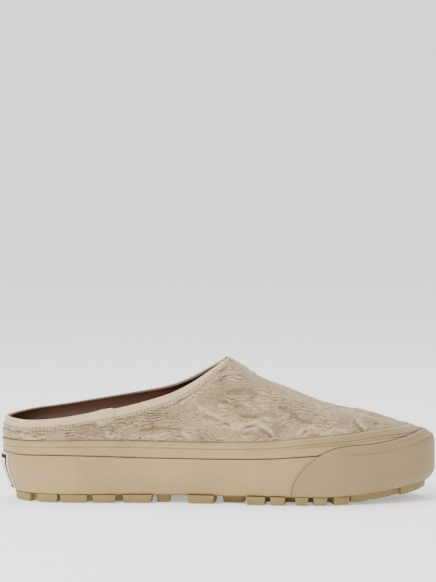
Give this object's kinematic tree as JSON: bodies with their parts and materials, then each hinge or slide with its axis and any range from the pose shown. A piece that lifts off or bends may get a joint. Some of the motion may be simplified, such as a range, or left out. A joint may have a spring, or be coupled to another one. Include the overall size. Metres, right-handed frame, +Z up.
{
  "type": "sneaker mule",
  "caption": "Slip-on mule with a hairy suede upper, a low heel collar and a thick rubber cup sole with a lugged tread and a toe bumper.",
  "frame": {"origin": "middle of the footprint's bounding box, on the floor", "axes": "+X towards the toe, +Y towards the inner side of the foot, +Z up"},
  "size_m": [0.298, 0.1065, 0.0963],
  "materials": {
    "tread_rubber": "matt moulded rubber, yellowish sand",
    "rubber": "smooth satin rubber, sand",
    "bumper_rubber": "smooth satin rubber, darker sand",
    "patch_rubber": "smooth rubber, off-white, bare",
    "footbed_leather": "smooth dark brown lining leather",
    "suede": "hairy suede, taupe, with fine wavy ridges",
    "binding_leather": "smooth suede binding, taupe, stitched in two rows"
  },
  "bodies": {
    "root": {"outsole": "tread_rubber", "midsole": "rubber", "foxing_tape": "rubber", "toe_bumper": "bumper_rubber", "heel_patch": "patch_rubber", "insole": "footbed_leather", "upper": "suede", "collar_binding": "binding_leather"}
  },
  "joints": []
}
